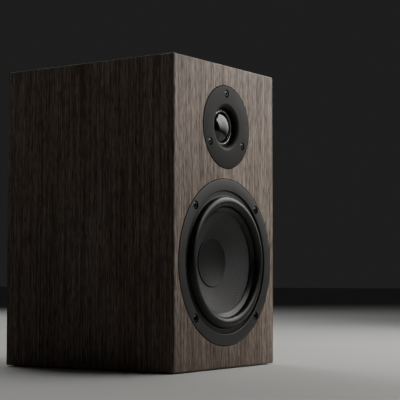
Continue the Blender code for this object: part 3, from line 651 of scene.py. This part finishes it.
def surround():
    """Half-roll of rubber: flat landing, roll standing proud of the baffle, lip glued on the cone."""
    centre, outer, inner = (64.75, 2.0), 5.9, 5.1
    front = [(76.0, 2.2), (75.8, 2.0), (71.4, 2.0)]
    front += arc((71.25, 1.4), 0.6, 90, 180, 4)[1:]
    front += arc(centre, outer, -6, -174, 28)
    front += [(58.75, 1.75), (58.35, 2.2), (57.6, 2.75), (54.35, 4.72), (54.0, 5.1), (54.05, 5.5)]
    back = [(54.4, 5.45), (58.3, 3.1), (59.3, 2.75)]
    back += arc(centre, inner, -172, -8, 24) + [(70.2, 2.7), (75.8, 2.7), (76.0, 2.5)]
    made = turned("half_roll_surround", front + back, "rubber", None, ["woofer_surround"], WOOFER_PLACE)
    flex(made, WOOFER_PLACE)


def cone():
    """Woven cone with a thin edge and a short neck."""
    outer, edge_depth, width, drop, steps = 54.0, 5.9, 35.5, 18.39, 24
    front = [(58.6, 3.5), (58.0, 3.75), (outer, edge_depth)]
    front += [(outer - width * i / steps, edge_depth + drop * i / steps) for i in range(1, steps + 1)]
    front += [(18.1, 24.3), (17.9, 24.7)]
    back = [(17.9, 25.4), (18.6, 25.3), (54.0, 6.8), (58.4, 4.4)]
    turned("woven_cone", front + back, "cone_fibre", "woofer_cone_assembly", ["woofer_cone"], WOOFER_PLACE)


def dust_cap():
    """Inverted cap: a shallow dish whose rounded rim runs down to the cone."""
    rim, rim_depth, dish_depth, thickness, steps = 26.0, 19.1, 24.0, 0.5, 24
    rise = rim_depth - dish_depth
    front = [(rim * i / steps, dish_depth + rise * (i / steps) ** 2) for i in range(steps)]
    front += arc((rim, 19.5), 0.55, -110, 20, 8)
    back = [(26.85, 20.15), (26.3, 20.3)]
    back += [(reach, depth + thickness) for reach, depth in reversed(front[:steps])]
    turned("dished_dust_cap", front + back, "cap_fibre", "woofer_cone_assembly", ["woofer_dust_cap"],
           WOOFER_PLACE, ring=False)


def spider():
    """Corrugated cloth ring from the coil former to the basket's shelf."""
    inner, outer, landing, waves, rows = 17.9, 43.0, 48.0, 5, 80
    plane, wave_height, thickness = 35.1, 1.1, 0.6
    front = []
    for row in range(rows + 1):
        share = row / rows
        swell = wave_height * sin(2 * pi * waves * share) * min(1.0, 8 * share, 8 * (1 - share))
        front.append((inner + (outer - inner) * share, plane + swell))
    front.append((landing, plane))
    back = [(radius, depth + thickness) for radius, depth in reversed(front)]
    made = turned("corrugated_spider", front + back, "spider_cloth", None, ["woofer_spider"], WOOFER_PLACE,
                  MEDIUM)
    flex(made, WOOFER_PLACE)


def woofer():
    woofer_frame()
    surround()
    cone()
    dust_cap()
    spider()
    for index, (x, z) in enumerate(WOOFER_SCREWS):
        place = (WOOFER.x + x * MM, DRIVER_FACE, WOOFER.z + z * MM)
        node = f"woofer_screw_{index + 1}"
        cap_screw(f"{node}_cap", node, place, head_radius=3.6, head_top=0.8, head_height=1.9,
                  shank=2.0, tip=16.0, flats=3.5)
    repaint("woofer_gasket", "dull_rubber")
    repaint("woofer_voice_coil", "copper")
    repaint("woofer_top_plate", "steel")
    repaint("woofer_magnet", "ferrite")
    repaint("woofer_yoke", "steel")
    repaint("woofer_terminal_strip", "circuit_board")


def faceplate():
    """Satin disc with a soft-edged throat that narrows to the dome."""
    rounding = 0.5
    profile = [(TWEETER_RADIUS, 3.4)] + arc((TWEETER_RADIUS - rounding, 0.7), rounding, 0, -90, 5)
    profile += arc((26.2, 5.7), 5.5, -90, -168, 22)
    profile += [(20.75, 5.0), (20.7, 6.3), (30.8, 6.3), (30.8, 3.4)]
    plate = turned("throat_plate", profile, "tweeter_satin", "cabinet", ["tweeter_faceplate"], TWEETER_PLACE)
    # Chamfered rim, seat of the head and hole for the shank
    wells = ((4.65, -0.6, -0.3), (4.2, 0.35, 2.3), (2.0, 2.3, 5.0))
    carve_holes(plate, TWEETER_SCREWS, wells, TWEETER_PLACE)


def dome():
    """Polished cap: a part of a sphere whose rim meets the surround's lip."""
    base, height, rim_depth, thickness, steps = 16.2, 5.6, 7.0, 0.4, 32
    sphere = (base**2 + height**2) / (2 * height)
    front = []
    for i in range(steps + 1):
        reach = base * i / steps
        front.append((reach, rim_depth - height + sphere - sqrt(sphere**2 - reach**2)))
    back = [(base - 0.05, rim_depth + thickness)]
    back += [(reach, depth + thickness) for reach, depth in reversed(front[:-1])]
    turned("polished_dome", front + back, "dome_metal", "tweeter_dome_assembly", ["tweeter_dome"],
           TWEETER_PLACE, ring=False)


def dome_surround():
    """Small half-roll around the dome, with a bright trim ring set in its landing."""
    centre, outer, inner = (16.85, 7.1), 0.55, 0.3
    front = [(25.0, 6.6), (17.9, 6.6), (17.5, 6.9)] + arc(centre, outer, -8, -172, 16) + [(16.25, 7.2)]
    back = [(16.25, 7.5)] + arc(centre, inner, -170, -10, 12) + [(17.6, 7.2), (18.0, 7.1), (25.0, 7.1)]
    made = turned("dome_surround", front + back, "dome_rubber", None, ["tweeter_surround"], TWEETER_PLACE)
    flex(made, TWEETER_PLACE)
    trim = arc((17.75, 6.75), 0.28, 0, 345, 23)
    turned("dome_trim_ring", trim, "trim_metal", "cabinet", [], TWEETER_PLACE)


def tweeter():
    faceplate()
    dome()
    dome_surround()
    for index, (x, z) in enumerate(TWEETER_SCREWS):
        place = (TWEETER.x + x * MM, DRIVER_FACE, TWEETER.z + z * MM)
        node = f"tweeter_screw_{index + 1}"
        cap_screw(f"{node}_cap", node, place, head_radius=3.3, head_top=0.6, head_height=1.4,
                  shank=1.6, tip=15.0, flats=3.0)
    repaint("tweeter_gasket", "dull_rubber")
    repaint("tweeter_voice_coil", "copper")
    repaint("tweeter_top_plate", "steel")
    repaint("tweeter_magnet", "ferrite")
    repaint("tweeter_yoke", "steel")


# ---------------------------------------------------------------- rear: depths run out of the rear face


def port():
    """Tube through the rear panel, its outer end flared into a rounded collar."""
    profile = [(21.6, -110.0)] + arc((21.6, -109.2), 0.8, -90, 0, 4)
    profile += [(22.4, -15.3), (30.5, -15.3), (30.5, 0.3), (38.0, 0.3)]
    profile += arc((37.0, 1.7), 1.0, 0, 90, 6)
    profile += arc((28.0, -5.3), 8.0, 90, 180, 20)
    profile += [(20.0, -108.4)] + arc((21.2, -108.8), 1.2, 180, 270, 4)
    turned("port_flare", profile, "black_plastic", "cabinet", ["port_tube"], (PORT.x, REAR, PORT.z), MEDIUM)


def rounded_rectangle(width, height, corner, steps=10):
    """Outline in X and Z, in metres, from millimetres."""
    points = []
    for quarter, (side_x, side_z) in enumerate(((1, 1), (-1, 1), (-1, -1), (1, -1))):
        for step in range(steps + 1):
            angle = pi / 2 * (quarter + step / steps)
            x = side_x * (width / 2 - corner) + corner * cos(angle)
            z = side_z * (height / 2 - corner) + corner * sin(angle)
            points.append((x * MM, z * MM))
    return points


def terminal_plate():
    """Plate with rounded edges around a tapered recess that holds the binding posts.

    Its rings are ((width, height, corner), depth), from behind the recess, around the plate, to its floor.
    """
    rings = [((78.0, 50.0, 5.0), -20.0), ((82.0, 54.0, 6.0), 0.3), ((100.0, 72.0, 8.0), 0.3)]
    rings += [((100.0, 72.0, 8.0), 1.9), ((99.5, 71.5, 7.8), 2.45), ((98.4, 70.4, 7.3), 2.8)]
    rings += [((78.6, 50.6, 6.3), 2.8), ((77.0, 49.0, 5.6), 2.45), ((76.0, 48.0, 5.1), 1.4)]
    rings += [((72.6, 44.6, 4.2), -16.6), ((71.6, 43.6, 3.8), -17.3), ((70.4, 42.4, 3.2), -17.5)]
    bm = bmesh.new()
    rows = [[bm.verts.new((x, depth * MM, z)) for x, z in rounded_rectangle(*size)] for size, depth in rings]
    for near, far in zip(rows, rows[1:]):
        bridge(bm, near, far)
    bm.faces.new(rows[0])
    bm.faces.new(rows[-1])
    place = (CUP.x, REAR, CUP.z)
    plate = piece("terminal_plate", bm, "black_plastic", "cabinet", ["terminal_cup"], place)
    hole_sides = 32
    screws = axis_places([f"terminal_screw_{index}" for index in range(1, 5)], place)
    carve_holes(plate, screws, ((1.7, -2.0, 1.5), (3.0, 1.5, 4.0)), place, hole_sides)
    posts = axis_places(("red_post_stud", "black_post_stud"), place)
    carve_holes(plate, posts, ((3.4, -22.0, -16.0),), place, hole_sides)
    socket = hexagon(2.2)
    profile = [(0, -10.5), (1.25, -9.3), (1.25, 1.8), (2.6, 1.8), (2.6, 2.6)]
    profile += arc((1.4, 2.2), 1.2, 20, 80, 5) + [(socket, 3.38), (socket, 2.3), (0, 2.3)]
    for index, (x, z) in enumerate(screws):
        node = f"terminal_screw_{index + 1}"
        axis = (place[0] + x * MM, REAR, place[2] + z * MM)
        turned(f"{node}_head", profile, "black_screw", "cabinet", [node], axis, SMALL, ring=False)


def fluted(radius, flutes, sunk):
    """The reach of a fluted grip's outline at each angle."""

    def reach(angle):
        return radius - sunk * (0.5 + 0.5 * cos(flutes * angle)) ** 2

    return reach


def binding_posts():
    """Each post: a gold threaded stud, its clamping washer and its fluted knob."""
    flutes = 16
    grip, grip_end = fluted(6.8, flutes, 0.7), fluted(6.5, flutes, 0.6)
    for colour in ("red", "black"):
        middle = middle_of(f"{colour}_post_knob")
        place = (middle.x, REAR, middle.z)
        stud = [(0, -13.5), (1.9, -13.5), (2.0, -13.3), (2.0, 1.7), (2.3, 2.0), (2.7, 2.0), (3.0, 1.6)]
        pitch, depth, thread_end = 1.0, 1.2, -14.0
        while depth > thread_end:
            stud += [(3.0, depth), (2.75, depth - 0.4 * pitch)]
            depth -= pitch
        stud += [(3.0, -15.4), (6.2, -15.4), (6.5, -15.7), (6.5, -16.9), (6.2, -17.2), (3.0, -17.2)]
        stud += [(3.0, -29.6), (2.6, -30.0), (0, -30.0)]
        turned(f"{colour}_threaded_stud", stud, "gold", "cabinet", [f"{colour}_post_stud"], place, SMALL,
               ring=False)
        washer = [(5.5, -15.1), (3.35, -15.1), (3.35, -14.1), (5.5, -14.1), (5.8, -14.4), (5.8, -14.8)]
        turned(f"{colour}_clamp_washer", washer, "gold", f"{colour}_washer", [f"{colour}_post_washer"], place,
               SMALL)
        knob = [(5.9, -13.8), (3.55, -13.8), (3.35, -13.6), (3.35, 2.9), (3.8, 3.4), (5.7, 3.4), (6.2, 3.2)]
        knob += [(6.45, 2.8), (6.45, 1.9), (6.1, 1.7), (grip_end, 1.2), (grip, 0.9), (grip, -11.4)]
        knob += [(grip_end, -11.8), (6.3, -12.2), (6.3, -13.4)]
        turned(f"{colour}_grip_knob", knob, f"{colour}_plastic", f"{colour}_knob", [f"{colour}_post_knob"],
               place, MEDIUM * 2)
        repaint(f"{colour}_post_nut", "steel")


# ---------------------------------------------------------------- inside


def choke(node):
    """Copper wire in turns between two flanges, its axis along Y."""
    low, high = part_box(node)
    middle = middle_of(node)
    radius, height = (high.x - low.x) / 2 / MM, (high.y - low.y) / MM
    bore, wire, flange, edge, sunk = 5.0, 1.2, 1.5, 0.3, 2.2
    profile = [(bore, -height), (bore, 0), (radius - edge, 0), (radius, -edge)]
    profile += [(radius, edge - flange), (radius - edge, -flange)]
    depth = -flange
    while depth - wire > flange - height:
        profile += arc((radius - sunk, depth - wire / 2), wire / 2, 80, -80, 4)
        depth -= wire
    profile += [(radius - edge, flange - height), (radius, flange - edge - height)]
    profile += [(radius, edge - height), (radius - edge, -height)]
    turned(f"{node}_winding", profile, "copper", "cabinet", [node], (middle.x, high.y, middle.z), MEDIUM)


def wadding(node):
    """Loose polyester pad: rounded edges and an uneven, quilted face."""
    low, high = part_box(node)
    half = (high - low) / 2
    bm = bmesh.new()
    bmesh.ops.create_cube(bm, size=2.0)
    bmesh.ops.subdivide_edges(bm, edges=bm.edges[:], cuts=28, use_grid_fill=True)
    border = 0.35
    for vertex in bm.verts:
        x, y, z = vertex.co
        swell = (1 - abs(y) ** 6) * (1 - abs(z) ** 6)
        quilt = 0.90 + 0.06 * cos(3 * pi * y) * cos(3 * pi * z) + 0.03 * sin(11 * y + 7 * z)
        thickness = border + (1 - border) * swell * quilt
        round_off = 1 - 0.02 * abs(x)
        vertex.co = (x * thickness * half.x, y * round_off * half.y, z * round_off * half.z)
    pad = piece(node + "_pad", bm, "wadding", "cabinet", [node], middle_of(node))


def smooth_route(points, samples):
    """A smooth curve through points given in millimetres."""
    route = [Vector(point) * MM for point in points]
    ends = [2 * route[0] - route[1]] + route + [2 * route[-1] - route[-2]]
    read = []
    for a, b, c, d in zip(ends, ends[1:], ends[2:], ends[3:]):
        for sample in range(samples):
            t = sample / samples
            cubic = (-a + 3 * b - 3 * c + d) * t**3 + (2 * a - 5 * b + 4 * c - d) * t**2
            read.append((cubic + (c - a) * t + 2 * b) / 2)
    read.append(route[-1])
    return read


def twin_lead(node, points):
    """Two insulated cores side by side, swept along the route that the frame's tube follows."""
    radius, sides, samples, pressed = 0.8 * MM, 12, 12, 0.98
    route = smooth_route(points, samples)
    bm = bmesh.new()
    side = Vector((1, 0, 0))
    frames = []
    for index, point in enumerate(route):
        ahead = route[min(index + 1, len(route) - 1)] - route[max(index - 1, 0)]
        ahead.normalize()
        side = (side - ahead * side.dot(ahead)).normalized()
        frames.append((point, side.copy(), ahead.cross(side)))
    for core in (-1, 1):
        rows = []
        for point, across, up in frames:
            middle = point + across * core * radius * pressed
            row = []
            for step in range(sides):
                angle = 2 * pi * step / sides
                row.append(bm.verts.new(middle + (across * cos(angle) + up * sin(angle)) * radius))
            rows.append(row)
        for near, far in zip(rows, rows[1:]):
            bridge(bm, near, far)
        bm.faces.new(rows[0])
        bm.faces.new(rows[-1])
    piece(node + "_cores", bm, "black_plastic", "cabinet", [node])


# The routes of the frame's two leads, in millimetres
WOOFER_LEAD_ROUTE = (
    (-30, 88, 138),
    (-26, 84, 152),
    (-20, 60, 172),
    (-14, 20, 176),
    (-8, -30, 172),
    (-6, -54, 165),
)
TWEETER_LEAD_ROUTE = (
    (34, 88, 138),
    (38, 84, 152),
    (44, 70, 180),
    (44, 50, 205),
    (40, 10, 225),
    (34, -40, 238),
    (24, -81, 244),
    (18, -86, 248),
)


def inside():
    repaint("crossover_board", "circuit_board")
    choke("woofer_choke")
    choke("tweeter_choke")
    repaint("film_capacitor", "capacitor")
    repaint("power_resistor", "ceramic")
    wadding("left_wadding")
    wadding("right_wadding")
    twin_lead("woofer_lead", WOOFER_LEAD_ROUTE)
    twin_lead("tweeter_lead", TWEETER_LEAD_ROUTE)


# ---------------------------------------------------------------- studio


def graduate(light, low, high):
    """Grades a softbox's strength smoothly from one edge to the opposite edge."""
    light.use_nodes = True
    tree = light.node_tree
    across = tree.nodes.new("ShaderNodeNewGeometry").outputs["Parametric"]
    parts = tree.nodes.new("ShaderNodeSeparateXYZ")
    grade = tree.nodes.new("ShaderNodeMapRange")
    grade.interpolation_type = "SMOOTHSTEP"
    grade.inputs["To Min"].default_value = low
    grade.inputs["To Max"].default_value = high
    tree.links.new(across, parts.inputs[0])
    tree.links.new(parts.outputs[1], grade.inputs["Value"])
    tree.links.new(grade.outputs["Result"], tree.nodes["Emission"].inputs["Strength"])


def area_light(name, place, target, size, power, colour=(1.0, 1.0, 1.0), fade=None):
    """A softbox turned towards a target. A fade grades its strength between two values."""
    light = bpy.data.lights.new(name, "AREA")
    light.shape = "RECTANGLE"
    light.size, light.size_y = size
    light.energy = power
    light.color = colour
    if fade:
        graduate(light, *fade)
    lamp = bpy.data.objects.new(name, light)
    lamp.location = place
    lamp.rotation_euler = (Vector(target) - Vector(place)).to_track_quat("-Z", "Y").to_euler()
    bpy.context.scene.collection.objects.link(lamp)


def studio():
    """Plain pale floor, dim surroundings and three soft lights."""
    reach, surroundings = 12.0, 0.018
    look = Look("studio_floor", Specular_IOR_Level=0.2, Roughness=0.85)
    cloud = look.noise(3.0, 2.0, 0.5)
    look.set("Base Color", look.ramp(cloud, (0.3, (0.43, 0.43, 0.42)), (0.7, (0.46, 0.46, 0.45))))
    mesh = bpy.data.meshes.new("studio_floor")
    corners = [(-reach, -reach, 0), (reach, -reach, 0), (reach, reach, 0), (-reach, reach, 0)]
    mesh.from_pydata(corners, [], [(0, 1, 2, 3)])
    mesh.materials.append(look.material)
    floor = bpy.data.objects.new("studio_floor", mesh)
    bpy.context.scene.collection.objects.link(floor)

    world = bpy.data.worlds.new("studio")
    world.use_nodes = True
    background = world.node_tree.nodes["Background"]
    background.inputs["Color"].default_value = (1.0, 1.0, 1.0, 1.0)
    background.inputs["Strength"].default_value = surroundings
    bpy.context.scene.world = world

    middle = (0.0, FRONT, 0.19)
    area_light(
        "key_softbox",
        place=(0.69, -0.57, 0.50),
        target=middle,
        size=(1.60, 1.00),
        power=16.5,
        colour=(1.0, 0.985, 0.96),
        fade=(0.0, 1.9),
    )
    area_light("left_fill", place=(-1.5, -0.4, 1.4), target=middle, size=(1.4, 1.4), power=0.42)
    area_light("rear_softbox", place=(0.9, 1.6, 1.5), target=(0, REAR, 0.16), size=(1.2, 1.2), power=22.0)


def camera():
    """A long lens low in front of the cabinet and to its left, placed from its own corner."""
    beside, ahead, height = 1.0199, 0.7277, 0.0942
    turn, rise = radians(55.686), radians(3.672)
    data = bpy.data.cameras.new("camera")
    data.lens = 112.27
    data.sensor_width = 36.0
    view = bpy.data.objects.new("camera", data)
    view.location = (BAFFLE_LOW.x - beside, FRONT - ahead, height)
    look = Vector((sin(turn) * cos(rise), cos(turn) * cos(rise), sin(rise)))
    view.rotation_euler = look.to_track_quat("-Z", "Y").to_euler()
    bpy.context.scene.collection.objects.link(view)
    bpy.context.scene.camera = view


camera()
cabinet()
woofer()
tweeter()
port()
terminal_plate()
binding_posts()
inside()
studio()

bpy.context.view_layer.update()
